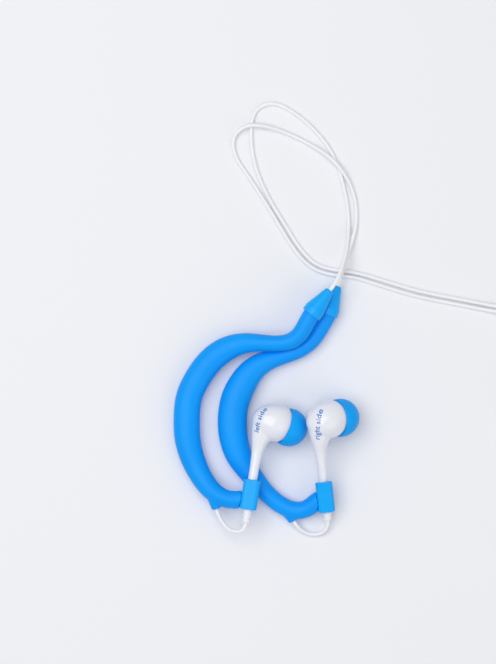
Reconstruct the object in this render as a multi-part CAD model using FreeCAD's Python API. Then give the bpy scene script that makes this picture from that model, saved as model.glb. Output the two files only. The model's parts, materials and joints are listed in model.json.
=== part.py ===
import FreeCAD, Part
import math
import os

# Wired sport earphones with soft ear hooks, lying on a flat surface. Millimetres, +Z up.
# +X is to the right and +Y is towards the hooks' upper ends. The left set lies partly on the right one.

V = FreeCAD.Vector
os.makedirs("parts", exist_ok=True)

# Moves the whole layout so that its origin is under the middle of the earphones, on the surface.
layout_shift = V(-0.37, 0.5, 0)

# Cables
leg_radius = 0.6
cord_radius = 1.0
cable_bore_radius = 0.72
stem_cable_radius = 0.45

# Housing, in its own frame: origin at the bulb's centre, +X out of the front, +Z up the stem's axis
bulb_radius = 5.95
shell_wall = 0.9
rear_depth = 7.5
stem_offset = 4.5
stem_radius = 1.45
stem_bore_radius = 0.75
stem_length = 26.4
nozzle_tilt = 11.0
nozzle_radius = 2.3
nozzle_bore_radius = 1.7
nozzle_end = 9.1
vent_radius = 0.5
vent_place = -5.7

# Ear tip, along the nozzle's axis
tip_centre = 4.5
tip_radius = 5.9
tip_wall = 0.65
tip_skirt_end = 3.3
tip_core_radius = 3.0
tip_hole_radius = 2.0

# Collar, boot, nub and end cap
collar_width = 5.2
collar_height = 5.4
collar_corner = 1.3
collar_length = 9.2
collar_bore_radius = 1.52
boot_radius = 1.42
boot_length = 5.6
cap_radius = 3.15
cap_length = 8.4
cap_lip = 1.1
hook_end_radius = 2.6

# How each housing lies: a point on the stem's axis level with the bulb, how far the stem leans to the
# right, how far it rises towards the bulb, how far the front dips, and how far the stem is out of its
# collar
left_lie = {"point": V(-1.0, -3.4, 8.95), "lean": 9.0, "rise": 1.0, "dip": 18.0, "out": 18.4}
right_lie = {"point": V(15.9, -4.1, 12.9), "lean": -6.6, "rise": 17.8, "dip": 34.0, "out": 19.3}

# Ear hooks, from the collar to the end cap: x, y, z of the middle, and the width
left_hook = [
    (-4.8, -27.6, 8.1, 5.6), (-8.4, -27.8, 7.8, 5.6), (-11.6, -27.6, 6.9, 5.6), (-15.2, -26.0, 5.5, 6.0),
    (-18.1, -23.2, 4.2, 6.4), (-20.6, -19.2, 3.4, 7.0), (-22.7, -14.3, 3.2, 7.6), (-24.0, -8.5, 3.3, 8.1),
    (-24.2, -2.8, 3.3, 8.2), (-23.3, 4.3, 3.3, 8.2), (-20.8, 9.6, 3.3, 8.2), (-17.1, 14.7, 3.3, 8.1),
    (-12.2, 18.5, 3.5, 7.6), (-6.3, 20.4, 4.5, 6.3), (-1.0, 20.5, 5.8, 5.3), (4.6, 20.4, 6.6, 4.9),
    (8.5, 21.4, 6.9, 5.1), (11.3, 24.1, 7.5, 5.2), (13.4, 27.9, 8.1, 5.2), (14.8, 30.1, 8.3, 5.2)]
right_hook = [
    (18.4, -27.5, 4.8, 5.6), (15.5, -28.8, 4.5, 5.5), (13.2, -30.5, 3.8, 5.4), (10.2, -31.3, 3.2, 5.4),
    (6.4, -30.4, 2.8, 5.4), (2.8, -28.1, 2.75, 5.4), (-0.3, -25.1, 2.75, 5.6), (-3.1, -21.7, 2.85, 6.2),
    (-5.7, -18.3, 3.05, 7.1), (-7.9, -14.7, 3.2, 8.0), (-9.5, -9.9, 3.3, 8.8), (-10.1, -5.0, 3.4, 9.1),
    (-9.9, -0.6, 3.4, 9.1), (-8.8, 4.0, 3.4, 9.1), (-6.8, 8.1, 3.3, 8.7), (-4.1, 11.8, 3.1, 7.8),
    (0.3, 14.8, 2.9, 6.4), (5.6, 16.6, 2.7, 5.4), (11.0, 18.6, 2.65, 5.1), (14.2, 21.0, 2.65, 5.1),
    (16.7, 24.4, 2.75, 5.2), (18.6, 27.7, 3.1, 5.2), (19.6, 30.1, 3.2, 5.2)]
round_below = 5.21
thickness_base = 5.0
thickness_gain = 0.4

# Nub: its mouth, the way it points, and the first of the hook's places that the cable inside passes
left_nub = {"mouth": V(-15.0, -30.9, 5.5), "turn": -75.0, "from": 4}
right_nub = {"mouth": V(8.9, -34.7, 2.75), "turn": -56.0, "from": 5}
nub_radius = 1.8
nub_mouth_radius = 1.45
nub_length = 3.6
nub_depth = 4.0

# Short leads from the boot to the nub, between one straight bit at each end
left_loop = [V(-8.7, -37.8, 7.5), V(-11.8, -36.8, 6.6)]
right_loop = [V(17.6, -38.6, 1.2), V(14.2, -38.9, 0.9), V(11.6, -37.8, 1.6)]
loop_exit = 1.9
loop_entry = 1.8

# Free legs, from the end cap's mouth to the splitter
left_leg = [
    V(24.2, 45.0, 6.1), V(25.4, 50.2, 3.2), V(26.0, 56.4, 0.66), V(25.6, 63.2, 0.62),
    V(24.1, 70.3, 0.62), V(21.6, 78.2, 0.62), V(17.0, 84.9, 0.62), V(10.3, 91.2, 0.62), V(2.6, 95.4, 0.62),
    V(-3.4, 92.8, 0.62), V(-4.5, 86.2, 0.62), V(-3.9, 78.4, 0.62), V(-1.7, 71.1, 0.62), V(1.8, 64.1, 0.62),
    V(6.2, 57.0, 0.62), V(10.9, 49.4, 0.62), V(15.4, 44.8, 0.62), V(21.2, 43.0, 0.62), V(28.0, 42.4, 0.62),
    V(36.6, 39.8, 0.62), V(47.6, 36.4, 0.62), V(59.2, 34.2, 0.62), V(69.0, 32.3, 0.78)]
right_leg = [
    V(24.7, 45.6, 3.3), V(26.6, 50.6, 1.6), V(28.3, 56.9, 0.62), V(28.3, 63.2, 0.62),
    V(26.6, 69.4, 0.9), V(23.5, 74.4, 2.25), V(19.4, 78.6, 2.25), V(13.0, 82.6, 0.8), V(5.2, 86.2, 0.8),
    V(-1.4, 87.9, 2.25), V(-6.6, 87.7, 2.25), V(-10.3, 83.9, 0.8), V(-9.3, 78.0, 0.62), V(-5.2, 72.2, 0.62),
    V(-0.9, 65.6, 0.62), V(3.6, 58.2, 0.62), V(9.2, 48.9, 0.62), V(14.4, 43.5, 0.62), V(20.8, 41.4, 0.62),
    V(27.8, 40.9, 0.62), V(36.0, 38.2, 0.62), V(47.2, 34.8, 0.62), V(58.8, 32.6, 0.62), V(68.6, 30.7, 0.78)]

leg_exit = 3.6

# Slider and splitter, along one straight stretch of both legs
pair_start = V(71.6, 31.0, 2.0)
pair_turn = -11.0
pair_half_gap = 0.8
slider_place = 4.5
slider_size = (8.0, 6.4, 3.9)
splitter_place = 16.0
splitter_length = 11.0

# Coil of the put-away cord, its tie, and the plug
coil_centre = V(95.0, -4.0, 0)
coil_mean_radius = 11.0
coil_columns = 3
coil_layers = 4
coil_bottom = 0.5
tie_thickness = 0.42
tie_angle = 16.0
cord_exit = 5.0
lead_in = [V(107.3, 20.4, 1.3), V(108.9, 12.4, 1.3), V(108.5, 4.2, 1.4)]
tail = [V(95.0, -17.0, 7.6), V(88.4, -17.6, 6.6), V(83.6, -22.0, 5.0), V(82.4, -28.5, 3.7)]
tail_turn = -62.0
plug_base = V(82.4, -34.5, 3.7)
relief_length = 8.0
grip_length = 15.5
grip_radius = 3.6
pin_radius = 1.75
pin_parts = (("plug_sleeve", 6.5), ("gap", 0.7), ("plug_ring", 2.1), ("gap", 0.7), ("plug_tip", 4.0))


def export(shape, node):
    # Moves a finished shape to its place and writes it.
    moved = shape.copy()
    moved.translate(layout_shift)
    solids = moved.Solids
    result = solids[0] if len(solids) == 1 else Part.makeCompound(solids)
    if not solids or not result.isValid():
        print("problem:", node)
    result.exportStep("parts/" + node + ".step")


def revolve_profile(points):
    # Turns a closed outline of (along, radius) points, in the XY plane, about the X axis.
    outline = [V(x, r, 0) for x, r in points]
    wire = Part.makePolygon(outline + outline[:1])
    return revolve_wire(wire)


def revolve_wire(wire):
    return Part.Face(wire).revolve(V(0, 0, 0), V(1, 0, 0), 360)


def along(shape, start, way):
    # Puts a shape made along +X at a start point, pointing the given way.
    placed = shape.copy()
    turn = FreeCAD.Placement(start, FreeCAD.Rotation(V(1, 0, 0), way))
    placed.Placement = turn.multiply(placed.Placement)
    return placed


def ring_solid(outer, inner, start, end):
    # A ring or tube about the X axis.
    body = Part.makeCylinder(outer, end - start, V(start, 0, 0), V(1, 0, 0))
    if inner > 0:
        body = body.cut(Part.makeCylinder(inner, end - start + 2, V(start - 1, 0, 0), V(1, 0, 0)))
    return body


def level_way(degrees):
    return V(math.cos(math.radians(degrees)), math.sin(math.radians(degrees)), 0)


def rounded_route(points):
    # Straight runs joined by tangent arcs, each as large as its two runs allow.
    edges = []
    radii = []
    here = points[0]
    for before, corner, after in zip(points, points[1:], points[2:]):
        back = (before - corner).normalize()
        ahead = (after - corner).normalize()
        half_turn = (math.pi - back.getAngle(ahead)) / 2
        reach = 0.45 * min((before - corner).Length, (after - corner).Length)
        radius = reach / math.tan(half_turn)
        first = corner + back * reach
        last = corner + ahead * reach
        inward = (back + ahead).normalize()
        middle = corner + inward * (radius / math.cos(half_turn) - radius)
        edges.append(Part.LineSegment(here, first).toShape())
        edges.append(Part.Arc(first, middle, last).toShape())
        radii.append(radius)
        here = last
    edges.append(Part.LineSegment(here, points[-1]).toShape())
    return Part.Wire(edges), radii


def tube(points, radius, name=""):
    route, radii = rounded_route(points)
    start = Part.Wire(Part.makeCircle(radius, points[0], points[1] - points[0]))
    body = route.makePipeShell([start], True, False)
    if name:
        share = body.Volume / (math.pi * radius ** 2 * route.Length)
        print(f"{name}: length {route.Length:.1f}, smallest radius {min(radii):.1f}, "
              f"volume ratio {share:.4f}")
    return body


def open_bore(points):
    # The hole for a cable, run on a little past both ends.
    first_way = (points[0] - points[1]).normalize()
    last_way = (points[-1] - points[-2]).normalize()
    bore = tube(points, cable_bore_radius)
    for point, way in ((points[0], first_way), (points[-1], last_way)):
        bore = bore.fuse(Part.makeCylinder(cable_bore_radius, 2, point - way * 0.5, way))
    return bore


def thickness(width):
    return width if width < round_below else thickness_base + thickness_gain * (width - thickness_base)


def hook_loft(stations):
    # A soft tube through oval sections whose width and thickness change along a smooth middle line.
    centres = [V(x, y, z) for x, y, z, width in stations]
    places = [0.0]
    for before, after in zip(centres, centres[1:]):
        places.append(places[-1] + (after - before).Length)
    middle = Part.BSplineCurve()
    middle.interpolate(Points=centres, Parameters=places)
    sizes = Part.BSplineCurve()
    spread = [V(width, thickness(width), s) for s, (x, y, z, width) in zip(places, stations)]
    sizes.interpolate(Points=spread, Parameters=places)
    sections = []
    for place in places:
        way = middle.tangent(place)[0]
        side = way.cross(V(0, 0, 1)).normalize()
        up = side.cross(way).normalize()
        centre = middle.value(place)
        size = sizes.value(place)
        oval = Part.Ellipse(centre + side * (size.x / 2 + 0.001), centre + up * (size.y / 2), centre)
        sections.append(Part.Wire(oval.toShape()))
    return Part.makeLoft(sections, True, False), centres[-1], middle.tangent(places[-1])[0].normalize()


def housing_place(lie):
    # The housing's own frame in the layout: X out of the front, Z up the stem.
    lean = math.radians(lie["lean"])
    rise = math.radians(lie["rise"])
    dip = math.radians(lie["dip"])
    up_stem = V(math.sin(lean) * math.cos(rise), math.cos(lean) * math.cos(rise), math.sin(rise))
    level = V(math.cos(lean), -math.sin(lean), 0)
    front = level * math.cos(dip) - level.cross(up_stem) * math.sin(dip)
    side = up_stem.cross(front)
    centre = lie["point"] + front * stem_offset
    turn = FreeCAD.Rotation(front, side, up_stem, "XZY")
    return FreeCAD.Placement(centre, turn)


def on_nozzle(shape):
    # From a shape about the housing's X axis to the nozzle's axis, which tilts towards the stem.
    tilted = shape.copy()
    tilted.rotate(V(0, 0, 0), V(0, 1, 0), nozzle_tilt)
    return tilted


def bulb_solid(wall):
    # The housing without its stem: a ball in front and a shallow dome behind.
    radius = bulb_radius - wall
    rear = Part.BSplineCurve()
    rear.interpolate(
        Points=[V(wall - rear_depth, 0, 0), V(wall * 0.9 - 7.0, 2.7 - wall * 0.35, 0),
                V(wall * 0.5 - 5.5, 4.65 - wall * 0.8, 0), V(-2.6, 5.72 - wall, 0), V(0, radius, 0)],
        InitialTangent=V(0, 1, 0), FinalTangent=V(1, 0, 0), Scale=False)
    front = Part.Arc(V(0, radius, 0), V(radius, radius, 0) * math.sqrt(0.5), V(radius, 0, 0))
    base = Part.LineSegment(V(radius, 0, 0), V(wall - rear_depth, 0, 0))
    return revolve_wire(Part.Wire([rear.toShape(), front.toShape(), base.toShape()]))


def stem_solid():
    # z, middle, half width front to back, half width side to side; it flares into the housing
    flare = [(-16, -stem_offset, stem_radius, stem_radius), (-13, -stem_offset, 1.5, 1.49),
             (-11, -4.42, 1.75, 1.6), (-9, -4.35, 1.95, 1.8), (-7, -4.15, 2.45, 2.3),
             (-5.4, -3.75, 3.05, 2.95), (-3, -3.45, 3.75, 3.55), (-0.5, -3.35, 3.95, 3.75)]
    sections = []
    for z, middle, half_x, half_y in flare:
        centre = V(middle, 0, z)
        if half_x > half_y:
            oval = Part.Ellipse(centre + V(half_x, 0, 0), centre + V(0, half_y, 0), centre)
        else:
            oval = Part.Circle(centre, V(0, 0, 1), half_x)
        sections.append(Part.Wire(oval.toShape()))
    straight = Part.makeCylinder(
        stem_radius, stem_length - 16, V(-stem_offset, 0, -stem_length), V(0, 0, 1))
    return Part.makeLoft(sections, True, False).fuse(straight)


def housing_shells():
    nozzle_lip = ring_solid(nozzle_radius + 0.3, 0, 8.2, nozzle_end)
    nozzle = ring_solid(nozzle_radius, 0, 4.0, nozzle_end).fuse(nozzle_lip)
    nozzle_bore = ring_solid(nozzle_bore_radius, 0, 3.0, nozzle_end + 1)
    mesh_seat = ring_solid(nozzle_bore_radius + 0.25, 0, nozzle_end - 0.35, nozzle_end + 1)
    body = bulb_solid(0).fuse(stem_solid()).fuse(on_nozzle(nozzle))
    bore_start = V(-stem_offset, 0, -stem_length - 1)
    stem_bore = Part.makeCylinder(stem_bore_radius, stem_length + 1, bore_start, V(0, 0, 1))
    body = body.cut(bulb_solid(shell_wall)).cut(stem_bore)
    body = body.cut(on_nozzle(nozzle_bore)).cut(on_nozzle(mesh_seat))
    vent = Part.makeCylinder(vent_radius, 4, V(vent_place, 3.0, 0), V(0, 1, 0))
    body = body.cut(vent)
    behind = Part.makeBox(20, 40, 60, V(-20 - stem_offset, -20, -45))
    return body.common(behind), body.cut(behind)


def ear_tip():
    outer_front = tip_centre + math.sqrt(tip_radius ** 2 - tip_hole_radius ** 2)
    inner_radius = tip_radius - tip_wall
    inner_front = tip_centre + math.sqrt(inner_radius ** 2 - tip_core_radius ** 2)
    edge_outer = math.sqrt(tip_radius ** 2 - (tip_skirt_end - tip_centre) ** 2)
    edge_inner = math.sqrt(inner_radius ** 2 - (tip_skirt_end - tip_centre) ** 2)
    neck = nozzle_radius + 0.02
    groove = nozzle_radius + 0.34
    diagonal = V(math.sqrt(0.5), math.sqrt(0.5), 0)
    dome = Part.Arc(V(outer_front, tip_hole_radius, 0), V(tip_centre, 0, 0) + diagonal * tip_radius,
                    V(tip_skirt_end, edge_outer, 0))
    lining = Part.Arc(V(tip_skirt_end, edge_inner, 0), V(tip_centre, 0, 0) + diagonal * inner_radius,
                      V(inner_front, tip_core_radius, 0))
    core = Part.makePolygon([
        V(inner_front, tip_core_radius, 0), V(6.0, tip_core_radius, 0), V(6.0, neck, 0), V(8.15, neck, 0),
        V(8.15, groove, 0), V(nozzle_end + 0.05, groove, 0), V(nozzle_end + 0.05, tip_hole_radius, 0),
        V(outer_front, tip_hole_radius, 0)])
    edge = Part.LineSegment(V(tip_skirt_end, edge_outer, 0), V(tip_skirt_end, edge_inner, 0))
    return revolve_wire(Part.Wire([dome.toShape(), edge.toShape(), lining.toShape()] + core.Edges))


def driver_pieces():
    # The moving-coil driver, about the housing's X axis, in the order it is stacked.
    frame = ring_solid(4.6, 4.1, -2.4, 0.9).fuse(ring_solid(4.9, 4.1, -0.6, 0.3))
    frame = frame.fuse(ring_solid(4.2, 2.66, -2.4, -2.0))
    for quarter in range(4):
        hole = Part.makeCylinder(0.45, 2, V(-3, 3.4, 0), V(1, 0, 0))
        hole.rotate(V(0, 0, 0), V(1, 0, 0), 45 + 90 * quarter)
        frame = frame.cut(hole)
    yoke = ring_solid(2.62, 2.2, -3.6, -0.6).fuse(ring_solid(2.3, 0, -3.6, -3.0))
    dome = [(-0.1, 1.6), (0.5, 0), (0.62, 0), (0.04, 1.66), (0.3, 3.0), (0.0, 4.08), (-0.12, 4.08),
            (0.18, 3.0)]
    board = ring_solid(2.3, 0, -4.05, -3.62)
    for side in (-1, 1):
        board = board.fuse(Part.makeCylinder(0.4, 0.25, V(-4.05, side * 1.1, 1.0), V(-1, 0, 0)))
    return {
        "driver_frame": frame,
        "driver_yoke": yoke,
        "driver_magnet": ring_solid(1.5, 0, -3.0, -1.4),
        "driver_top_plate": ring_solid(1.55, 0, -1.4, -0.8),
        "voice_coil": ring_solid(1.95, 1.72, -1.9, -0.14),
        "diaphragm": revolve_profile(dome),
        "driver_board": board,
        "rear_damper": ring_solid(2.6, 0, -5.75, -5.4),
    }


def end_cap():
    profile = [(-cap_lip, hook_end_radius + 0.2), (-cap_lip, 3.0), (-cap_lip + 0.25, cap_radius),
               (1.0, cap_radius), (1.7, 2.95), (cap_length - 0.5, 1.45), (cap_length, 1.1), (cap_length, 0),
               (0, 0), (0, hook_end_radius + 0.2)]
    return revolve_profile(profile)


def nub_solid():
    nub = Part.makeCone(nub_mouth_radius, nub_radius, nub_length, V(0, 0, 0), V(-1, 0, 0))
    mouth = [e for e in nub.Edges if e.BoundBox.XLength < 0.01 and e.BoundBox.XMax > -0.01]
    return nub.makeFillet(0.6, mouth)


def boot_solid():
    # Tapered, with two grooves that let it bend.
    profile = [(0, 0), (0, boot_radius), (2.2, boot_radius), (2.3, 1.22), (2.7, 1.22), (2.8, boot_radius),
               (3.6, 1.4), (3.7, 1.2), (4.1, 1.2), (4.2, 1.37), (boot_length - 0.5, 1.3),
               (boot_length - 0.1, 1.05), (boot_length, 0.9), (boot_length, 0)]
    return along(revolve_profile(profile), V(-stem_offset, 0, -stem_length), V(0, 0, -1))


def collar_block(length, start):
    # A square block with rounded sides, along the stem's axis.
    corner = V(-stem_offset - collar_width / 2, -collar_height / 2, start - length)
    block = Part.makeBox(collar_width, collar_height, length, corner)
    return block.makeFillet(collar_corner, [e for e in block.Edges if abs(e.tangentAt(0).z) > 0.9])


def collar_solid(out, rise):
    # Its upper end is upright although the stem rises through it.
    block = collar_block(collar_length + 1.5, 1.5 - out)
    above = Part.makeBox(20, 20, 10, V(-10, -10, 0))
    above.rotate(V(0, 0, 0), V(1, 0, 0), -rise)
    above.translate(V(-stem_offset, 0, -out))
    block = block.cut(above)
    ends = [edge for face in block.Faces if abs(face.normalAt(0, 0).z) > 0.9 for edge in face.Edges]
    block = block.makeFillet(0.3, ends)
    bore = Part.makeCylinder(
        collar_bore_radius, collar_length + 2, V(-stem_offset, 0, -out - collar_length - 1))
    return block.cut(bore)


def levelled(shape, dip):
    # Turns a shape about the stem's axis so that it lies level although the housing's front dips.
    turned = shape.copy()
    turned.rotate(V(-stem_offset, 0, 0), V(0, 0, 1), -dip)
    return turned


def make_side(side, lie, stations, nub, loop, leg):
    place = housing_place(lie)

    def placed(shape):
        moved = shape.copy()
        moved.Placement = place.multiply(moved.Placement)
        return moved

    # Housing, nozzle, tip and what is inside
    rear, front = housing_shells()
    pieces = {
        "rear_shell": rear,
        "front_shell": front,
        "ear_tip": on_nozzle(ear_tip()),
        "nozzle_mesh": on_nozzle(
            ring_solid(nozzle_bore_radius + 0.23, 0, nozzle_end - 0.33, nozzle_end - 0.05)),
        "stem_cable": Part.makeCylinder(
            stem_cable_radius, stem_length - 2.5, V(-stem_offset, 0, -stem_length), V(0, 0, 1)),
        "cable_boot": boot_solid(),
        "stem_collar": levelled(collar_solid(lie["out"], lie["rise"]), lie["dip"]),
    }
    pieces.update(driver_pieces())
    for name, shape in pieces.items():
        export(placed(shape), side + name)

    # Hook, end cap and nub, all bored for the cable
    collar_core = placed(levelled(collar_block(collar_length + 6, 3 - lie["out"]), lie["dip"]))
    hook, end, cap_way = hook_loft(stations)
    cap_mouth = end + cap_way * cap_length
    nub_way = level_way(nub["turn"])
    inside = nub["mouth"] - nub_way * nub_depth
    cable_route = [nub["mouth"], inside] + [V(*s[:3]) for s in stations[nub["from"]:-2]] + [end, cap_mouth]
    bore = open_bore(cable_route)
    export(hook.cut(collar_core).cut(bore), side + "ear_hook")
    export(along(end_cap(), end, cap_way).cut(bore), side + "hook_end_cap")
    export(along(nub_solid(), nub["mouth"], nub_way).cut(hook).cut(bore), side + "cable_grommet")

    # Cables: inside the hook, the short loop, and the free leg
    export(tube(cable_route, leg_radius, side + "hook_cable"), side + "hook_cable")
    boot_end = place.multVec(V(-stem_offset, 0, -stem_length - boot_length))
    stem_down = place.Rotation.multVec(V(0, 0, -1))
    route = [boot_end, boot_end + stem_down * loop_exit, *loop,
             nub["mouth"] + nub_way * loop_entry, nub["mouth"]]
    export(tube(route, leg_radius, side + "loop_cable"), side + "loop_cable")
    pair_way = level_way(pair_turn)
    pair_side = V(-pair_way.y, pair_way.x, 0) * pair_half_gap * (1 if side == "left_" else -1)
    straight = [pair_start + pair_side, pair_start + pair_side + pair_way * splitter_place]
    route = [cap_mouth, cap_mouth + cap_way * leg_exit] + leg + straight
    export(tube(route, leg_radius, side + "leg"), side + "leg")
    print(side, "bulb centre", place.Base, "front", place.Rotation.multVec(V(1, 0, 0)),
          "up stem", place.Rotation.multVec(V(0, 0, 1)), "boot end", boot_end, "cap mouth", cap_mouth)


def rounded_box(length, width, height, edge):
    box = Part.makeBox(length, width, height, V(0, -width / 2, -height / 2))
    return box.makeFillet(edge, box.Edges)


def make_pair_fittings():
    # The slider has one hole for each leg; the splitter joins them to the one cord.
    pair_way = level_way(pair_turn)
    slider = rounded_box(*slider_size, 0.9)
    for side in (-1, 1):
        hole = Part.makeCylinder(leg_radius + 0.09, 20, V(-5, side * pair_half_gap, 0), V(1, 0, 0))
        slider = slider.cut(hole)
    export(along(slider, pair_start + pair_way * slider_place, pair_way), "cinch_slider")
    neck = revolve_profile([(7.5, 0), (7.5, 1.8), (splitter_length, 1.25), (splitter_length, 0)])
    splitter = rounded_box(8.5, 5.6, 3.9, 1.1).fuse(neck)
    start = pair_start + pair_way * splitter_place
    export(along(splitter, start, pair_way), "y_splitter")
    cord_start = start + pair_way * splitter_length
    return [cord_start, cord_start + pair_way * cord_exit]


def make_coil(cord_start):
    half_width = coil_columns * cord_radius + 0.05
    height = 2 * coil_layers * cord_radius + 0.1
    inner = coil_mean_radius - half_width
    ring = Part.makeCylinder(inner + 2 * half_width, height, coil_centre + V(0, 0, coil_bottom))
    ring = ring.cut(Part.makeCylinder(inner, height + 2, coil_centre + V(0, 0, coil_bottom - 1)))
    ring = ring.makeFillet(0.8, ring.Edges)
    export(ring, "cord_coil")
    entry = V(coil_centre.x + coil_mean_radius + 2 * cord_radius, coil_centre.y, coil_bottom + cord_radius)
    route = cord_start + lead_in + [entry]
    export(tube(route, cord_radius, "main_cord").cut(ring), "main_cord")
    leaving = coil_centre + level_way(tail_turn) * (coil_mean_radius + 2 * cord_radius) + V(0, 0, tail[0].z)
    export(tube([leaving] + tail + [plug_base], cord_radius, "plug_tail").cut(ring), "plug_tail")

    # Tie: a flat band round the turns
    def band(grow):
        low = V(inner - grow, 0, coil_bottom - grow)
        across = V(2 * (half_width + grow), 0, 0)
        up = V(0, 0, height + 2 * grow)
        outline = Part.makePolygon([low, low + across, low + across + up, low + up, low])
        return Part.Face(outline).revolve(V(0, 0, 0), V(0, 0, 1), tie_angle)

    tie = band(tie_thickness).cut(band(0.02))
    tie.rotate(V(0, 0, 0), V(0, 0, 1), 90 - tie_angle / 2)
    tie.translate(coil_centre)
    export(tie, "coil_tie")


def make_plug():
    way = V(0, -1, 0)
    relief = [(0, 0), (0, 1.35)]
    for groove in range(4):
        x = 1.2 + 1.5 * groove
        r = 1.5 + 0.2 * groove
        relief += [(x, r), (x + 0.1, r - 0.3), (x + 0.6, r - 0.3), (x + 0.7, r + 0.1)]
    relief += [(relief_length, 2.4), (relief_length, 0)]
    export(along(revolve_profile(relief), plug_base, way), "plug_relief")
    start = plug_base + way * relief_length
    grip = [(0, 0), (0, 2.6), (0.8, 3.3), (3.0, grip_radius)]
    grip += [(grip_length - 3.5, grip_radius - 0.2), (grip_length - 0.8, 3.3), (grip_length, 2.9),
             (grip_length, 0)]
    export(along(revolve_profile(grip), start, way), "plug_grip")
    x = grip_length
    gaps = []
    for name, length in pin_parts:
        if name == "gap":
            gaps.append(along(ring_solid(pin_radius, 0, x, x + length), start, way))
        elif name == "plug_tip":
            tip = [(x, 0), (x, pin_radius), (x + 0.5, pin_radius), (x + 1.1, 1.2), (x + 1.5, 1.25),
                   (x + 2.3, 1.72), (x + 3.4, 1.0), (x + length, 0.25), (x + length, 0)]
            export(along(revolve_profile(tip), start, way), name)
        else:
            collar = 0.9 if name == "plug_sleeve" else 0
            part = ring_solid(pin_radius, 0, x, x + length)
            if collar:
                part = part.fuse(ring_solid(2.5, 0, x, x + collar))
            export(along(part, start, way), name)
        x += length
    export(Part.makeCompound(gaps), "plug_insulators")


make_side("left_", left_lie, left_hook, left_nub, left_loop, left_leg)
make_side("right_", right_lie, right_hook, right_nub, right_loop, right_leg)
cord_start = make_pair_fittings()
make_coil(cord_start)
make_plug()
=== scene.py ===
import json
import math

import bpy
import bmesh
from mathutils import Matrix, Vector


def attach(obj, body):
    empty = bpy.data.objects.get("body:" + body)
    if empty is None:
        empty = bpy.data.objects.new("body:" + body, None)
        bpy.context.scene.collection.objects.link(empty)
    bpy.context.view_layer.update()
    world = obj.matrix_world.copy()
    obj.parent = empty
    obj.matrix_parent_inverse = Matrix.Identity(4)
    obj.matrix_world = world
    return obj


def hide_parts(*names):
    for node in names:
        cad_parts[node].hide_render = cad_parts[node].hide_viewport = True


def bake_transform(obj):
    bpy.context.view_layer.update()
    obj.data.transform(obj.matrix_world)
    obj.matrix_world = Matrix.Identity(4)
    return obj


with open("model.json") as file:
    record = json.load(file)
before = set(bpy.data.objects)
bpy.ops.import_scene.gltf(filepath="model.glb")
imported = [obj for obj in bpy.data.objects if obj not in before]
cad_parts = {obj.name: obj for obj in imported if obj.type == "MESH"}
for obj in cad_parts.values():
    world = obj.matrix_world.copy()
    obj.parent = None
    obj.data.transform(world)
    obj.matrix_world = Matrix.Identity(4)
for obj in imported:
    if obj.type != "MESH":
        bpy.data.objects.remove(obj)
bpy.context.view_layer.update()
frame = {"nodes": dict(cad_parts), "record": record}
nodes = frame["nodes"]
mm = 0.001
layoutShift = Vector((-0.37, 0.5, 0.0))   # every place in millimetres below is moved by this
sides = ("left", "right")


def place(point):
    return (Vector(point) + layoutShift) * mm


def levelWay(degrees):
    turn = math.radians(degrees)
    return Vector((math.cos(turn), math.sin(turn), 0))


cameraSetup = {"over": (-5.27, 23.87), "height": 1200.0, "viewHeight": 205.8, "sensor": 36.0,
               "nearest": 0.05, "farthest": 10}


def addCamera():
    data = bpy.data.cameras.new("camera")
    data.sensor_width = cameraSetup["sensor"]
    data.lens = cameraSetup["sensor"] * cameraSetup["height"] / cameraSetup["viewHeight"]
    data.clip_start = cameraSetup["nearest"]
    data.clip_end = cameraSetup["farthest"]
    camera = bpy.data.objects.new("camera", data)
    bpy.context.collection.objects.link(camera)
    camera.location = place((*cameraSetup["over"], cameraSetup["height"]))
    bpy.context.scene.camera = camera


addCamera()
print("camera set")


def linear(hexCode):
    channels = [int(hexCode[i:i + 2], 16) / 255 for i in (0, 2, 4)]
    return [c / 12.92 if c <= 0.04045 else ((c + 0.055) / 1.055) ** 2.4 for c in channels] + [1.0]


def perMetre(sizeMm):
    # how often a feature of that size in millimetres repeats in a metre of Object coordinates
    return 1000.0 / sizeMm


def waveScale(sizeMm):
    # a wave texture repeats 20 / 2 pi times in one unit of its scale
    return perMetre(sizeMm) * 2 * math.pi / 20


def addNode(tree, kind, settings=(), **links):
    # settings: properties, input values or the colours of a ramp; links: own socket = the socket it joins
    made = tree.nodes.new(kind)
    for name, value in dict(settings).items():
        if name == "ramp":
            for stop, hexCode in zip(made.color_ramp.elements, value):
                stop.color = linear(hexCode)
        elif name in made.inputs:
            made.inputs[name].default_value = value
        else:
            setattr(made, name, value)
    for name, socket in links.items():
        if socket.is_output:
            tree.links.new(socket, made.inputs[name])
        else:
            tree.links.new(made.outputs[name], socket)
    return made


def newFinish(name, roughness, metallic=0.0, ior=1.5, **more):
    finish = bpy.data.materials.new(name)
    finish.use_nodes = True
    tree = finish.node_tree
    shader = tree.nodes["Principled BSDF"]
    shader.inputs["Roughness"].default_value = roughness
    shader.inputs["Metallic"].default_value = metallic
    shader.inputs["IOR"].default_value = ior
    for key, value in more.items():
        shader.inputs[key.replace("_", " ")].default_value = value
    return finish, tree, shader


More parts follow.
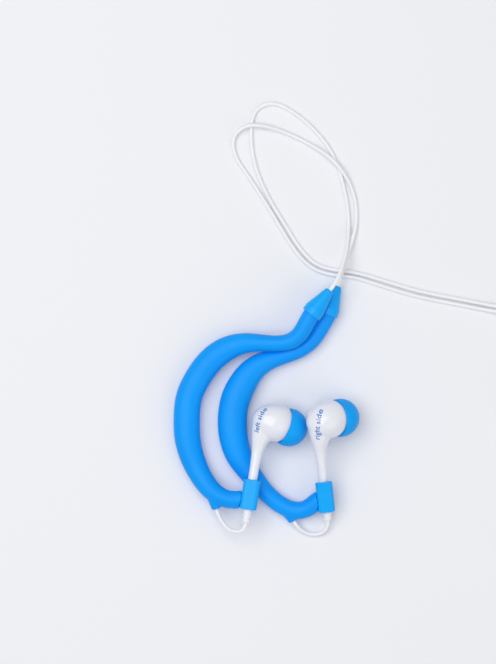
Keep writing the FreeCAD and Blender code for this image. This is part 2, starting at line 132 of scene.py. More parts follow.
def mouldedFinish(name, lowHex, highHex, look):
    # a moulded part: slow colour drift, a fine grain from the mould, and a little uneven gloss
    finish, tree, shader = newFinish(name, look["roughness"], **look.get("shader", {}))
    coords = addNode(tree, "ShaderNodeTexCoord")
    drift = addNode(tree, "ShaderNodeTexNoise", {"Scale": perMetre(look["driftMm"]), "Detail": 2.0},
                    Vector=coords.outputs["Object"])
    grain = addNode(tree, "ShaderNodeTexNoise", {"Scale": perMetre(look["grainMm"]), "Detail": 3.0},
                    Vector=coords.outputs["Object"])
    addNode(tree, "ShaderNodeValToRGB", {"ramp": (lowHex, highHex)},
            Fac=drift.outputs["Fac"], Color=shader.inputs["Base Color"])
    addNode(tree, "ShaderNodeMapRange", {"To Min": look["roughness"] - look["uneven"],
            "To Max": look["roughness"] + look["uneven"]},
            Value=drift.outputs["Fac"], Result=shader.inputs["Roughness"])
    addNode(tree, "ShaderNodeBump",
            {"Strength": look["grainStrength"], "Distance": look["grainDepthMm"] * mm},
            Height=grain.outputs["Fac"], Normal=shader.inputs["Normal"])
    return finish


# Silicone, liquid-moulded in a satin tool: even sky blue, soft wide highlights, a trace of light inside
siliconeLook = {"roughness": 0.42, "uneven": 0.05, "driftMm": 9.0, "grainMm": 0.35, "grainStrength": 0.25,
                "grainDepthMm": 0.02, "shader": {"ior": 1.43, "Specular_IOR_Level": 0.22}}
# TPE, injection-moulded in a polished tool: brighter and a little glossier than the silicone
tpeLook = {"roughness": 0.36, "uneven": 0.04, "driftMm": 6.0, "grainMm": 0.3, "grainStrength": 0.2,
           "grainDepthMm": 0.015, "shader": {"ior": 1.5, "Specular_IOR_Level": 0.25}}
whiteTpeLook = {**tpeLook, "shader": {"ior": 1.5}}
# ABS, injection-moulded and polished: clear sharp reflections with a faint waviness
absLook = {"roughness": 0.14, "uneven": 0.04, "driftMm": 8.0, "grainMm": 2.5, "grainStrength": 0.08,
           "grainDepthMm": 0.02, "shader": {"ior": 1.53}}
# TPE cable sheath, extruded: satin, with faint draw marks drawn coarser than they are
sheathLook = {"roughness": 0.45, "uneven": 0.05, "driftMm": 12.0, "grainMm": 0.5, "grainStrength": 0.2,
              "grainDepthMm": 0.02, "shader": {"ior": 1.5}}

finishes = {
    "blue_silicone": mouldedFinish("blueSilicone", "0094F4", "02A0FC", siliconeLook),
    "blue_tpe": mouldedFinish("blueTpe", "00A2F6", "06AEFE", tpeLook),
    "tip_silicone": mouldedFinish("tipSilicone", "009CF2", "02A9FC", siliconeLook),
    "white_abs": mouldedFinish("whiteAbs", "E5E7F0", "EDEFF6", absLook),
    "white_cable": mouldedFinish("whiteSheath", "EAEBF0", "F2F3F6", sheathLook),
    "white_tpe": mouldedFinish("whiteTpe", "E8E9EF", "EFF0F5", whiteTpeLook),
    "black_polymer": mouldedFinish("blackPolymer", "0E0E0F", "1A1A1C", tpeLook),
    "tie_band": mouldedFinish("blackTie", "111112", "1D1D1F", tpeLook),
}
# Pad-printing ink, two-part, cured: a thin even film, deeper blue than the mouldings and half glossy
inkLook = {"roughness": 0.3, "uneven": 0.05, "driftMm": 3.0, "grainMm": 0.3, "grainStrength": 0.2,
           "grainDepthMm": 0.01, "shader": {"ior": 1.5}}
printInk = mouldedFinish("padPrintInk", "0A6FC0", "107CCB", inkLook)
print("moulded finishes made")


def platedContacts():
    # nickel-plated brass, turned on a lathe: bright, its fine rings drawn coarser than they are
    finish, tree, shader = newFinish("nickelPlatedContacts", 0.18, metallic=1.0)
    coords = addNode(tree, "ShaderNodeTexCoord")
    rings = addNode(tree, "ShaderNodeTexWave", {"Scale": waveScale(0.8), "Distortion": 0.3,
                    "bands_direction": "Y"}, Vector=coords.outputs["Object"])
    addNode(tree, "ShaderNodeValToRGB", {"ramp": ("C9CACD", "D8D9DB")},
            Fac=rings.outputs["Fac"], Color=shader.inputs["Base Color"])
    addNode(tree, "ShaderNodeMapRange", {"To Min": 0.14, "To Max": 0.24},
            Value=rings.outputs["Fac"], Result=shader.inputs["Roughness"])
    addNode(tree, "ShaderNodeBump", {"Strength": 0.15, "Distance": 0.01 * mm},
            Height=rings.outputs["Fac"], Normal=shader.inputs["Normal"])
    return finish


def pressedSteel(name, lowHex, highHex, low, high):
    # pressed and plated steel: soft mottled metal, from matt zinc to bright nickel
    finish, tree, shader = newFinish(name, low, metallic=1.0)
    coords = addNode(tree, "ShaderNodeTexCoord")
    mottle = addNode(tree, "ShaderNodeTexNoise", {"Scale": perMetre(0.6), "Detail": 4.0},
                     Vector=coords.outputs["Object"])
    addNode(tree, "ShaderNodeValToRGB", {"ramp": (lowHex, highHex)},
            Fac=mottle.outputs["Fac"], Color=shader.inputs["Base Color"])
    addNode(tree, "ShaderNodeMapRange", {"To Min": low, "To Max": high},
            Value=mottle.outputs["Fac"], Result=shader.inputs["Roughness"])
    addNode(tree, "ShaderNodeBump", {"Strength": 0.1, "Distance": 0.01 * mm},
            Height=mottle.outputs["Fac"], Normal=shader.inputs["Normal"])
    return finish


def wovenScreen():
    # stainless wire cloth: 0.2 mm mesh drawn as crossed waves, with painted shade in the gaps between the
    # wires
    finish, tree, shader = newFinish("wovenScreen", 0.35, metallic=1.0)
    coords = addNode(tree, "ShaderNodeTexCoord")
    warp = addNode(tree, "ShaderNodeTexWave", {"Scale": waveScale(0.4), "bands_direction": "Y"},
                   Vector=coords.outputs["Object"])
    weft = addNode(tree, "ShaderNodeTexWave", {"Scale": waveScale(0.4), "bands_direction": "Z"},
                   Vector=coords.outputs["Object"])
    wires = addNode(tree, "ShaderNodeMath", {"operation": "MAXIMUM"})
    tree.links.new(warp.outputs["Fac"], wires.inputs[0])
    tree.links.new(weft.outputs["Fac"], wires.inputs[1])
    # the dark end of the ramp is painted shade in the gaps between the wires; the light end is the wires'
    # own grey
    addNode(tree, "ShaderNodeValToRGB", {"ramp": ("2A2B2D", "A9ABAE")},
            Fac=wires.outputs["Value"], Color=shader.inputs["Base Color"])
    addNode(tree, "ShaderNodeBump", {"Strength": 0.6, "Distance": 0.05 * mm},
            Height=wires.outputs["Value"], Normal=shader.inputs["Normal"])
    return finish


def woundCopper():
    # enamelled copper wire wound close: fine bands of bright orange copper, with painted shade in the
    # creases between the turns
    finish, tree, shader = newFinish("woundCopper", 0.3, metallic=1.0)
    coords = addNode(tree, "ShaderNodeTexCoord")
    turns = addNode(tree, "ShaderNodeTexWave", {"Scale": waveScale(0.24), "bands_direction": "X"},
                    Vector=coords.outputs["Object"])
    # the dark end of the ramp is painted shade in the creases between the turns; the bright end is the
    # copper on each turn
    addNode(tree, "ShaderNodeValToRGB", {"ramp": ("9A4A24", "D98A55")},
            Fac=turns.outputs["Fac"], Color=shader.inputs["Base Color"])
    addNode(tree, "ShaderNodeBump", {"Strength": 0.5, "Distance": 0.03 * mm},
            Height=turns.outputs["Fac"], Normal=shader.inputs["Normal"])
    return finish


def polyesterFilm():
    # clear film, thermoformed: glossy and pale, with slow waves
    finish, tree, shader = newFinish("polyesterFilm", 0.12, ior=1.6)
    coords = addNode(tree, "ShaderNodeTexCoord")
    waves = addNode(tree, "ShaderNodeTexNoise", {"Scale": perMetre(1.2), "Detail": 1.0},
                    Vector=coords.outputs["Object"])
    addNode(tree, "ShaderNodeValToRGB", {"ramp": ("C9CDD2", "E2E5E9")},
            Fac=waves.outputs["Fac"], Color=shader.inputs["Base Color"])
    addNode(tree, "ShaderNodeBump", {"Strength": 0.3, "Distance": 0.05 * mm},
            Height=waves.outputs["Fac"], Normal=shader.inputs["Normal"])
    return finish


def solderMask():
    # fibre board under green solder mask, with tinned pads
    finish, tree, shader = newFinish("solderMask", 0.3, ior=1.55)
    coords = addNode(tree, "ShaderNodeTexCoord")
    pads = addNode(tree, "ShaderNodeTexVoronoi", {"Scale": perMetre(1.1)},
                   Vector=coords.outputs["Object"])
    edge = addNode(tree, "ShaderNodeMapRange", {"From Min": 0.22, "From Max": 0.3},
                   Value=pads.outputs["Distance"])
    addNode(tree, "ShaderNodeValToRGB", {"ramp": ("C8C8C2", "1C5A30")},
            Fac=edge.outputs["Result"], Color=shader.inputs["Base Color"])
    addNode(tree, "ShaderNodeBump", {"Strength": 0.3, "Distance": 0.03 * mm},
            Height=edge.outputs["Result"], Normal=shader.inputs["Normal"])
    return finish


def pressedFelt():
    # acoustic felt: matt grey fibres, 0.15 mm across as drawn
    finish, tree, shader = newFinish("pressedFelt", 0.95)
    coords = addNode(tree, "ShaderNodeTexCoord")
    fibres = addNode(tree, "ShaderNodeTexNoise", {"Scale": perMetre(0.15), "Detail": 6.0},
                     Vector=coords.outputs["Object"])
    addNode(tree, "ShaderNodeValToRGB", {"ramp": ("55565A", "85868A")},
            Fac=fibres.outputs["Fac"], Color=shader.inputs["Base Color"])
    addNode(tree, "ShaderNodeBump", {"Strength": 0.7, "Distance": 0.08 * mm},
            Height=fibres.outputs["Fac"], Normal=shader.inputs["Normal"])
    return finish


finishes["plug_plating"] = platedContacts()
finishes["plated_steel"] = pressedSteel("zincPlatedSteel", "8F9296", "A6A9AD", 0.3, 0.45)
finishes["nickel_magnet"] = pressedSteel("nickelPlatedMagnet", "BFC1C4", "D3D4D6", 0.12, 0.2)
finishes["steel_mesh"] = wovenScreen()
finishes["copper_wire"] = woundCopper()
finishes["clear_film"] = polyesterFilm()
finishes["green_board"] = solderMask()
finishes["grey_felt"] = pressedFelt()

slots = {s["node"]: s["material_slot"] for s in frame["record"]["subparts"]}
for name, cadNode in nodes.items():
    cadNode.data.materials.clear()
    cadNode.data.materials.append(finishes[slots[name]])
print("all nodes have their finish")

# Where the two leads lie side by side: under the slider and on into the splitter
pair = {"start": Vector((71.6, 31.0, 2.0)), "turn": -11.0, "halfGap": 0.8, "straighten": 3.1,
        "splitter": 16.0, "splitterLength": 11.0, "cordExit": 5.0}
cable = {"leadWidth": 1.2, "cordWidth": 2.0, "cordLength": 0.895, "capExit": 3.6, "nubExit": 1.8,
         "bootExit": 1.9, "lineOrder": 3, "lineSteps": 12, "roundSteps": 6}
legs = {
    "left": {"hookEnd": (14.8, 30.1, 8.3), "capMouth": (19.967, 36.713, 8.657), "length": 0.204,
             "points": [
        (24.2, 45.0, 6.1), (25.4, 50.2, 3.2), (26.0, 56.4, 0.66), (25.6, 63.2, 0.62), (24.1, 70.3, 0.62),
        (21.6, 78.2, 0.62), (17.0, 84.9, 0.62), (10.3, 91.2, 0.62), (2.6, 95.4, 0.62), (-3.4, 92.8, 0.62),
        (-4.5, 86.2, 0.62), (-3.9, 78.4, 0.62), (-1.7, 71.1, 0.62), (1.8, 64.1, 0.62), (6.2, 57.0, 0.62),
        (10.9, 49.4, 0.62), (15.4, 44.8, 0.62), (21.2, 43.0, 0.62), (28.0, 42.4, 0.62), (36.6, 39.8, 0.62),
        (47.6, 36.4, 0.62), (59.2, 34.2, 0.62), (69.0, 32.3, 0.78)]},
    "right": {"hookEnd": (19.6, 30.1, 3.2), "capMouth": (22.356, 38.035, 3.122), "length": 0.200,
              "points": [
        (24.7, 45.6, 3.3), (26.6, 50.6, 1.6), (28.3, 56.9, 0.62), (28.3, 63.2, 0.62), (26.6, 69.4, 0.9),
        (23.5, 74.4, 2.25), (19.4, 78.6, 2.25), (13.0, 82.6, 0.8), (5.2, 86.2, 0.8), (-1.4, 87.9, 2.25),
        (-6.6, 87.7, 2.25), (-10.3, 83.9, 0.8), (-9.3, 78.0, 0.62), (-5.2, 72.2, 0.62), (-0.9, 65.6, 0.62),
        (3.6, 58.2, 0.62), (9.2, 48.9, 0.62), (14.4, 43.5, 0.62), (20.8, 41.4, 0.62), (27.8, 40.9, 0.62),
        (36.0, 38.2, 0.62), (47.2, 34.8, 0.62), (58.8, 32.6, 0.62), (68.6, 30.7, 0.78)]},
}


def smoothCord(name, points, diameter):
    # one open NURBS line through the given points, with a round section
    data = bpy.data.curves.new(name, "CURVE")
    data.dimensions = "3D"
    spline = data.splines.new("NURBS")
    spline.points.add(len(points) - 1)
    for target, point in zip(spline.points, points):
        target.co = (*place(point), 1)
    spline.order_u = cable["lineOrder"]
    spline.use_endpoint_u = True
    spline.resolution_u = cable["lineSteps"]
    data.bevel_depth = diameter / 2 * mm
    data.bevel_resolution = cable["roundSteps"]
    data.use_fill_caps = True
    cord = bpy.data.objects.new(name, data)
    bpy.context.collection.objects.link(cord)
    data.materials.append(finishes["white_cable"])
    return cord


pairWay = levelWay(pair["turn"])
pairAcross = Vector((-pairWay.y, pairWay.x, 0))
for side, leg in legs.items():
    mouth = Vector(leg["capMouth"])
    capWay = (mouth - Vector(leg["hookEnd"])).normalized()
    across = pairAcross * pair["halfGap"] * (1 if side == "left" else -1)
    first = pair["start"] + across
    straight = [first, first + pairWay * pair["straighten"], first + pairWay * pair["splitter"]]
    route = [mouth, mouth + capWay * cable["capExit"], *leg["points"], *straight]
    legCord = smoothCord(side + "Lead", route, cable["leadWidth"])
    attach(legCord, "root")
    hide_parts(side + "_leg")

# The put-away cord: from the splitter into a neat coil of twelve turns, then out to the plug
coil = {"centre": (95.0, -4.0), "radii": (13.0, 11.0, 9.0), "layers": 4, "bottom": 1.5, "rise": 2.0,
        "pointsPerTurn": 16, "shiftOver": 0.25, "leaveAfter": 0.25}
leadIn = [(107.3, 20.4, 1.3), (108.9, 12.4, 1.3), (108.5, 4.2, 1.4)]
tail = [(88.4, -17.6, 6.6), (83.6, -22.0, 5.0), (82.4, -28.5, 3.7), (82.4, -34.5, 3.7)]


def coilSpot(turns):
    # radius and height after that many turns: three turns in, up a layer, three out, and so on
    def column(k):
        layer, step = divmod(k, len(coil["radii"]))
        inward = layer % 2 == 0
        return coil["radii"][step if inward else -1 - step], coil["bottom"] + coil["rise"] * layer
    whole = min(int(turns), coil["layers"] * len(coil["radii"]) - 1)
    radius, height = column(whole)
    part = (turns - whole - (1 - coil["shiftOver"])) / coil["shiftOver"]
    if part > 0 and whole < coil["layers"] * len(coil["radii"]) - 1:
        nextRadius, nextHeight = column(whole + 1)
        radius += (nextRadius - radius) * part
        height += (nextHeight - height) * part
    angle = -2 * math.pi * turns
    return (coil["centre"][0] + radius * math.cos(angle),
            coil["centre"][1] + radius * math.sin(angle), height)


splitterEnd = pair["start"] + pairWay * (pair["splitter"] + pair["splitterLength"])
allTurns = coil["layers"] * len(coil["radii"]) + coil["leaveAfter"]
coilSteps = int(allTurns * coil["pointsPerTurn"]) + 1
coilPoints = [coilSpot(k / coil["pointsPerTurn"]) for k in range(coilSteps)]
mainRoute = [splitterEnd, splitterEnd + pairWay * pair["cordExit"], *leadIn, *coilPoints, *tail]
mainCord = smoothCord("mainCord", mainRoute, cable["cordWidth"])
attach(mainCord, "root")
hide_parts("main_cord", "cord_coil", "plug_tail")
print("cords laid")

# The short leads from each boot to its nub, each drawn as one bent line
loops = {
    "left": {"boot": (-6.005, -35.001, 8.392), "down": (-0.1564, -0.9875, -0.0175),
             "nub": (-15.0, -30.9, 5.5), "nubTurn": -75.0,
             "points": [(-8.7, -37.8, 7.5), (-11.8, -36.8, 6.6)]},
    "right": {"boot": (19.402, -34.366, 3.118), "down": (0.1094, -0.9458, -0.3057),
              "nub": (8.9, -34.7, 2.75), "nubTurn": -56.0,
              "points": [(17.6, -38.6, 1.2), (14.2, -38.9, 0.9), (11.6, -37.8, 1.6)]},
}
for side, loop in loops.items():
    boot, nub = Vector(loop["boot"]), Vector(loop["nub"])
    nubWay = levelWay(loop["nubTurn"])
    belowBoot = boot + Vector(loop["down"]) * cable["bootExit"]
    route = [nub, nub + nubWay * cable["nubExit"], *reversed(loop["points"]), belowBoot, boot]
    shortLead = smoothCord(side + "ShortLead", route, cable["leadWidth"])
    bpy.ops.object.select_all(action="DESELECT")
    shortLead.select_set(True)
    bpy.context.view_layer.objects.active = shortLead
    bpy.ops.object.convert(target="MESH")
    shortLead = bpy.context.view_layer.objects.active
    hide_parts(side + "_loop_cable")
    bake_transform(shortLead)
print("short leads bent")

creaseAngle = math.radians(40)
evening = 0.5      # each smoothing pass moves a point this far towards its neighbours' middle
weldGap = 1e-6     # points closer than this, in metres, become one


def onlySelect(piece):
    if bpy.context.mode != "OBJECT":
        bpy.ops.object.mode_set(mode="OBJECT")
    bpy.ops.object.select_all(action="DESELECT")
    piece.select_set(True)
    bpy.context.view_layer.objects.active = piece


def applyModifier(piece, kind, **settings):
    onlySelect(piece)
    modifier = piece.modifiers.new(kind.lower(), kind)
    for key, value in settings.items():
        setattr(modifier, key, value)
    bpy.ops.object.modifier_apply(modifier=modifier.name)


def copyOf(piece, name):
    onlySelect(piece)
    bpy.ops.object.duplicate()
    made = bpy.context.object
    made.name = name
    return made


def settle(piece, matrix):
    # carries a piece from its own frame to its place, and leaves the object at the origin
    onlySelect(piece)
    piece.matrix_world = matrix @ piece.matrix_world
    bpy.ops.object.transform_apply(location=True, rotation=True, scale=True)


def finishPiece(piece, slot, body, *stoodFor):
    onlySelect(piece)
    piece.data.materials.clear()
    piece.data.materials.append(finishes[slot])
    bpy.ops.object.shade_smooth_by_angle(angle=creaseAngle)
    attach(piece, body)
    if stoodFor:
        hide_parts(*stoodFor)


# A housing's own frame: origin at the bulb's centre, +X out of the front, +Z up the stem's axis
lies = {
    "left": {"point": (-1.0, -3.4, 8.95), "lean": 9.0, "rise": 1.0, "dip": 18.0},
    "right": {"point": (15.9, -4.1, 12.9), "lean": -6.6, "rise": 17.8, "dip": 34.0},
}
housing = {"ball": 5.95, "rear": 7.5, "stemAxis": -4.5, "wall": 0.9, "seam": 0.04,
           "ballSegments": 72, "ballRings": 36, "stemSegments": 48, "skinStep": 0.2, "softening": 10,
           "joinSoftening": 60, "joinBottom": -13.0, "joinFade": 3.0, "joinTopFade": 2.5,
           "ventRadius": 0.5, "ventAt": (-5.7, 4.5, 0.0), "drillSegments": 24, "drillLength": 3.0,
           # z, middle, half width front to back, half width side to side
           "stem": [(-26.4, -4.5, 1.45, 1.45), (-20.0, -4.5, 1.45, 1.45), (-15.0, -4.5, 1.47, 1.47),
                    (-12.8, -4.48, 1.55, 1.52), (-11.0, -4.43, 1.72, 1.62), (-9.0, -4.36, 1.98, 1.85),
                    (-7.2, -4.2, 2.45, 2.3), (-5.8, -3.95, 2.95, 2.85), (-4.2, -3.7, 3.45, 3.3),
                    (-2.2, -3.5, 3.85, 3.6), (0.0, -3.35, 3.95, 3.7)]}


def housingMatrix(lie):
    lean, rise, dip = (math.radians(lie[key]) for key in ("lean", "rise", "dip"))
    up = Vector((math.sin(lean) * math.cos(rise), math.cos(lean) * math.cos(rise), math.sin(rise)))
    level = Vector((math.cos(lean), -math.sin(lean), 0))
    front = level * math.cos(dip) - level.cross(up) * math.sin(dip)
    across = up.cross(front)
    turn = Matrix((front, across, up)).transposed().to_4x4()
    origin = Vector(lie["point"]) - front * housing["stemAxis"]
    return Matrix.Translation(place(origin)) @ turn


def housingSkin():
    # ball with a longer rear half, joined to a stem drawn up in steps, then blended into one skin
    bpy.ops.object.select_all(action="DESELECT")
    bpy.ops.mesh.primitive_uv_sphere_add(segments=housing["ballSegments"], radius=housing["ball"] * mm,
                                         ring_count=housing["ballRings"])
    ball = bpy.context.object
    bpy.ops.object.mode_set(mode="EDIT")
    bpy.ops.mesh.select_all(action="DESELECT")
    skin = bmesh.from_edit_mesh(ball.data)
    for vert in skin.verts:
        vert.select = vert.co.x < 0
    skin.select_flush(True)
    bmesh.update_edit_mesh(ball.data)
    bpy.ops.transform.resize(value=(housing["rear"] / housing["ball"], 1, 1), center_override=(0, 0, 0))
    bpy.ops.object.mode_set(mode="OBJECT")

    steps = housing["stem"]
    z, middle, halfX, halfY = steps[0]
    bpy.ops.object.select_all(action="DESELECT")
    bpy.ops.mesh.primitive_circle_add(vertices=housing["stemSegments"], radius=mm, fill_type="NGON",
                                      location=(0, 0, 0))
    stem = bpy.context.object
    bpy.ops.object.mode_set(mode="EDIT")
    bpy.ops.mesh.select_all(action="SELECT")
    bpy.ops.transform.resize(value=(halfX, halfY, 1), center_override=(0, 0, 0))
    bpy.ops.transform.translate(value=(middle * mm, 0, z * mm))
    for before, after in zip(steps, steps[1:]):
        bpy.ops.mesh.extrude_region_move(TRANSFORM_OT_translate={
            "value": ((after[1] - before[1]) * mm, 0, (after[0] - before[0]) * mm)})
        bpy.ops.transform.resize(value=(after[2] / before[2], after[3] / before[3], 1),
                                 center_override=(after[1] * mm, 0, after[0] * mm))
    bpy.ops.mesh.select_all(action="SELECT")
    bpy.ops.mesh.normals_make_consistent(inside=False)
    bpy.ops.object.mode_set(mode="OBJECT")

    onlySelect(ball)
    stem.select_set(True)
    bpy.ops.object.join()
    applyModifier(ball, "REMESH", mode="VOXEL", voxel_size=housing["skinStep"] * mm)
    applyModifier(ball, "SMOOTH", factor=evening, iterations=housing["softening"])
    join = ball.vertex_groups.new(name="join")
    for vert in ball.data.vertices:
        z = vert.co.z / mm
        fromBottom = min(1.0, max(0.0, (z - housing["joinBottom"]) / housing["joinFade"]))
        weight = fromBottom * min(1.0, max(0.0, -z / housing["joinTopFade"]))
        if weight > 0:
            join.add([vert.index], weight, "REPLACE")
    applyModifier(ball, "SMOOTH", factor=evening, iterations=housing["joinSoftening"],
                  vertex_group="join")
    ball.vertex_groups.clear()
    return ball


def halfShell(skin, name, rearHalf):
    half = copyOf(skin, name)
    cut = (housing["stemAxis"] + (-0.5 if rearHalf else 0.5) * housing["seam"]) * mm
    bpy.ops.object.mode_set(mode="EDIT")
    bpy.ops.mesh.select_all(action="SELECT")
    bpy.ops.mesh.bisect(plane_co=(cut, 0, 0), plane_no=(1, 0, 0),
                        clear_outer=rearHalf, clear_inner=not rearHalf)
    bpy.ops.object.mode_set(mode="OBJECT")
    applyModifier(half, "SOLIDIFY", thickness=housing["wall"] * mm, offset=-1, use_even_offset=False)
    if rearHalf:
        bpy.ops.object.select_all(action="DESELECT")
        bpy.ops.mesh.primitive_cylinder_add(vertices=housing["drillSegments"],
                                            radius=housing["ventRadius"] * mm,
                                            depth=housing["drillLength"] * mm,
                                            location=Vector(housing["ventAt"]) * mm,
                                            rotation=(math.pi / 2, 0, 0))
        drill = bpy.context.object
        applyModifier(half, "BOOLEAN", operation="DIFFERENCE", solver="EXACT", object=drill)
        bpy.data.objects.remove(drill)
    return half


# The side's name runs up the stem on the rear of the bulb, with the letters' tops to the rear
sidePrint = {"words": {"left": "left side", "right": "right side"}, "size": 2.35, "bold": 0.03,
             "spacing": 1.05, "proud": 0.03, "fromRear": 30.0, "up": 0.2, "slant": 9.5, "cuts": 3,
             "heldOffWalls": 2}


def sideMark(side, skin):
    # flat letters held off the skin, then pressed straight onto it as a printing pad does
    bpy.ops.object.select_all(action="DESELECT")
    bpy.ops.object.text_add(location=(0, 0, 0))
    mark = bpy.context.object
    mark.name = side + "SideMark"
    mark.data.body = sidePrint["words"][side]
    mark.data.size = sidePrint["size"] * mm
    mark.data.offset = sidePrint["bold"] * mm
    mark.data.space_character = sidePrint["spacing"]
    mark.data.align_x = "CENTER"
    mark.data.align_y = "CENTER"
    bpy.ops.object.convert(target="MESH")
    mark = bpy.context.object
    bpy.ops.object.mode_set(mode="EDIT")
    bpy.ops.mesh.select_all(action="SELECT")
    bpy.ops.mesh.remove_doubles(threshold=weldGap)
    bpy.ops.mesh.quads_convert_to_tris()
    bpy.ops.mesh.subdivide(number_cuts=sidePrint["cuts"])
    bpy.ops.object.mode_set(mode="OBJECT")

    turn = math.radians(sidePrint["fromRear"])
    rear, ball = housing["rear"], housing["ball"]
    spot = Vector((-rear * math.cos(turn), -ball * math.sin(turn), sidePrint["up"])) * mm
    outward = Vector((-math.cos(turn) / rear, -math.sin(turn) / ball, 0)).normalized()
    upStem = Vector((0, 0, 1))
    rearward = outward.cross(upStem)
    held = Matrix((upStem, rearward, outward)).transposed().to_4x4()
    slant = Matrix.Rotation(math.radians(-sidePrint["slant"]), 4, "Z")
    aboveSkin = spot + outward * housing["wall"] * sidePrint["heldOffWalls"] * mm
    mark.matrix_world = Matrix.Translation(aboveSkin) @ held @ slant
    applyModifier(mark, "SHRINKWRAP", wrap_method="PROJECT", use_project_z=True,
                  use_positive_direction=False, use_negative_direction=True, target=skin)
    applyModifier(mark, "SOLIDIFY", thickness=2 * sidePrint["proud"] * mm, offset=0)
    return mark


for side in sides:
    matrix = housingMatrix(lies[side])
    skin = housingSkin()
    rear = halfShell(skin, side + "RearHousing", True)
    front = halfShell(skin, side + "FrontHousing", False)
    mark = sideMark(side, skin)
    bpy.data.objects.remove(skin)
    for piece in (rear, front, mark):
        settle(piece, matrix)
    finishPiece(rear, "white_abs", side + "_bud", side + "_rear_shell")
    finishPiece(front, "white_abs", side + "_bud", side + "_front_shell")
    finishPiece(mark, "blue_tpe", side + "_bud")
    mark.data.materials[0] = printInk
    print(side, "housing:", len(front.data.polygons), len(rear.data.polygons), len(mark.data.polygons))


turnedSegments = 72


def turnedPiece(name, profile):
    # a closed ring profile of (distance along X, radius) in millimetres, drawn out ring by ring
    bpy.ops.object.select_all(action="DESELECT")
    bpy.ops.mesh.primitive_circle_add(vertices=turnedSegments, radius=profile[0][1] * mm,
                                      rotation=(0, math.pi / 2, 0))
    piece = bpy.context.object
    piece.name = name
    bpy.ops.object.transform_apply(location=True, rotation=True, scale=True)
    bpy.ops.object.mode_set(mode="EDIT")
    bpy.ops.mesh.select_all(action="SELECT")
    bpy.ops.transform.translate(value=(profile[0][0] * mm, 0, 0))
    for before, after in zip(profile, profile[1:] + profile[:1]):
        step = (after[0] - before[0]) * mm
        bpy.ops.mesh.extrude_region_move(TRANSFORM_OT_translate={"value": (step, 0, 0)})
        grow = after[1] / before[1]
        bpy.ops.transform.resize(value=(1, grow, grow), center_override=(after[0] * mm, 0, 0))
    bpy.ops.mesh.select_all(action="SELECT")
    bpy.ops.mesh.remove_doubles(threshold=2 * weldGap)
    bpy.ops.mesh.normals_make_consistent(inside=False)
    bpy.ops.object.mode_set(mode="OBJECT")
    return piece


earTip = {"middle": 4.5, "radius": 5.9, "wall": 0.65, "skirtEnd": 3.3, "lip": 5.07, "hole": 2.0,
          "core": 3.0, "coreEnd": 6.0, "coreEdge": 0.15, "neck": 2.32, "grooveStart": 8.15,
          "groove": 2.64, "grooveEnd": 9.15, "steps": 16, "mouthRound": 0.25, "mouthEdge": (0.08, 0.07),
          # the lip turns in until it hugs the bulb: steps from the skirt's end, from the dome or the lip
          "lipTurn": {"dome": (-0.16, -0.2), "lip": ((-0.2, 0.12), (-0.08, 0.0), (0.05, 0.02))}}
nozzle = {"tilt": 11.0, "start": 4.0, "end": 9.1, "radius": 2.3, "bore": 1.7, "lip": 2.6, "lipStart": 8.2,
          "lipSlope": 0.1, "lipEdge": 0.12, "seat": 1.95, "seatDepth": 0.35}


def domeArc(radius, first, last):
    # points on the tip's dome between two angles from the nozzle's axis
    steps = earTip["steps"]
    angles = [first + (last - first) * k / steps for k in range(steps + 1)]
    return [(earTip["middle"] + radius * math.cos(a), radius * math.sin(a)) for a in angles]


def tipProfile():
    outer, inner, hole = earTip["radius"], earTip["radius"] - earTip["wall"], earTip["hole"]
    skirtEnd, edge = earTip["skirtEnd"], earTip["coreEdge"]
    back = skirtEnd - earTip["middle"]
    dome = domeArc(outer, math.asin((hole + earTip["mouthRound"]) / outer), math.acos(back / outer))
    lining = domeArc(inner, math.acos(back / inner), math.asin(earTip["core"] / inner))
    along, out = earTip["lipTurn"]["dome"]
    lip = [(skirtEnd + along, dome[-1][1] + out)]
    lip += [(skirtEnd + along, earTip["lip"] + out) for along, out in earTip["lipTurn"]["lip"]]
    mouth = earTip["middle"] + math.sqrt(outer ** 2 - hole ** 2)
    core = [(earTip["coreEnd"] + edge, earTip["core"]), (earTip["coreEnd"], earTip["core"] - edge),
            (earTip["coreEnd"], earTip["neck"]), (earTip["grooveStart"], earTip["neck"]),
            (earTip["grooveStart"], earTip["groove"]), (earTip["grooveEnd"], earTip["groove"]),
            (earTip["grooveEnd"], hole), (mouth - earTip["mouthRound"], hole),
            (mouth - earTip["mouthEdge"][0], hole + earTip["mouthEdge"][1])]
    return dome + lip + lining + core


nozzleProfile = [(nozzle["start"], nozzle["radius"]), (nozzle["lipStart"], nozzle["radius"]),
                 (nozzle["lipStart"] + nozzle["lipSlope"], nozzle["lip"]),
                 (nozzle["end"] - nozzle["lipEdge"], nozzle["lip"]),
                 (nozzle["end"], nozzle["lip"] - nozzle["lipEdge"]), (nozzle["end"], nozzle["seat"]),
                 (nozzle["end"] - nozzle["seatDepth"], nozzle["seat"]),
                 (nozzle["end"] - nozzle["seatDepth"], nozzle["bore"]), (nozzle["start"], nozzle["bore"])]
for side in sides:
    matrix = housingMatrix(lies[side]) @ Matrix.Rotation(math.radians(nozzle["tilt"]), 4, "Y")
    tip = turnedPiece(side + "EarTip", tipProfile())
    spout = turnedPiece(side + "Nozzle", nozzleProfile)
    settle(tip, matrix)
    settle(spout, matrix)
    finishPiece(tip, "tip_silicone", side + "_bud", side + "_ear_tip")
    finishPiece(spout, "white_abs", side + "_bud")
print("ear tips and nozzles turned")

earHook = {"skinStep": 0.32, "softening": 10}


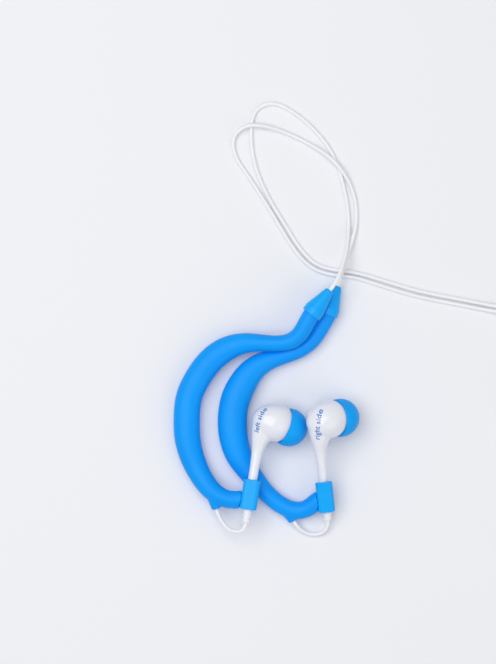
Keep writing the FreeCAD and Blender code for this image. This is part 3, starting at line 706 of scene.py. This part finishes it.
def softHook(side):
    # the hook and the nub on it are one soft moulding, so their skins are grown together and rounded
    parts = []
    for name in (side + "_ear_hook", side + "_cable_grommet"):
        part = bpy.data.objects.new(name + "Copy", nodes[name].data.copy())
        bpy.context.collection.objects.link(part)
        parts.append(part)
    onlySelect(parts[0])
    parts[1].select_set(True)
    bpy.ops.object.join()
    hook = bpy.context.object
    hook.name = side + "EarHook"
    bpy.ops.object.mode_set(mode="EDIT")
    bpy.ops.mesh.select_all(action="SELECT")
    bpy.ops.mesh.remove_doubles(threshold=weldGap)
    bpy.ops.object.mode_set(mode="OBJECT")
    applyModifier(hook, "REMESH", mode="VOXEL", voxel_size=earHook["skinStep"] * mm)
    applyModifier(hook, "SMOOTH", factor=evening, iterations=earHook["softening"])
    return hook


for side in sides:
    hook = softHook(side)
    finishPiece(hook, "blue_silicone", "root", side + "_ear_hook", side + "_cable_grommet")
    print(side, "hook:", len(hook.data.polygons))

room = {"floorSize": 4.0, "paperRoughness": 0.8, "paperHex": "EBECF0", "lightAim": (0, 0.02, 0),
        "glowHex": "FFFFFF", "glow": 0.43}
bpy.ops.object.select_all(action="DESELECT")
bpy.ops.mesh.primitive_plane_add(size=room["floorSize"], location=(0, 0, 0))
floor = bpy.context.object
floor.name = "floor"
# matt uncoated paper, one even pale grey
paper, _, paperShader = newFinish("palePaper", room["paperRoughness"])
paperShader.inputs["Base Color"].default_value = linear(room["paperHex"])
floor.data.materials.append(paper)

lights = (
    {"name": "overhead", "at": (-0.25, 0.15, 0.9), "size": 0.9, "power": 6.3},
    {"name": "fill", "at": (0.6, -0.5, 0.6), "size": 0.8, "power": 1.5},
)
for light in lights:
    data = bpy.data.lights.new(light["name"], "AREA")
    data.energy = light["power"]
    data.size = light["size"]
    lamp = bpy.data.objects.new(light["name"], data)
    bpy.context.collection.objects.link(lamp)
    lamp.location = light["at"]
    aim = Vector(room["lightAim"]) - lamp.location
    lamp.rotation_euler = aim.to_track_quat("-Z", "Y").to_euler()

world = bpy.data.worlds.new("paleRoom")
bpy.context.scene.world = world
world.use_nodes = True
glow = world.node_tree.nodes["Background"]
glow.inputs["Color"].default_value = linear(room["glowHex"])
glow.inputs["Strength"].default_value = room["glow"]
bpy.context.scene.view_settings.view_transform = "Standard"
print("floor and lights set")
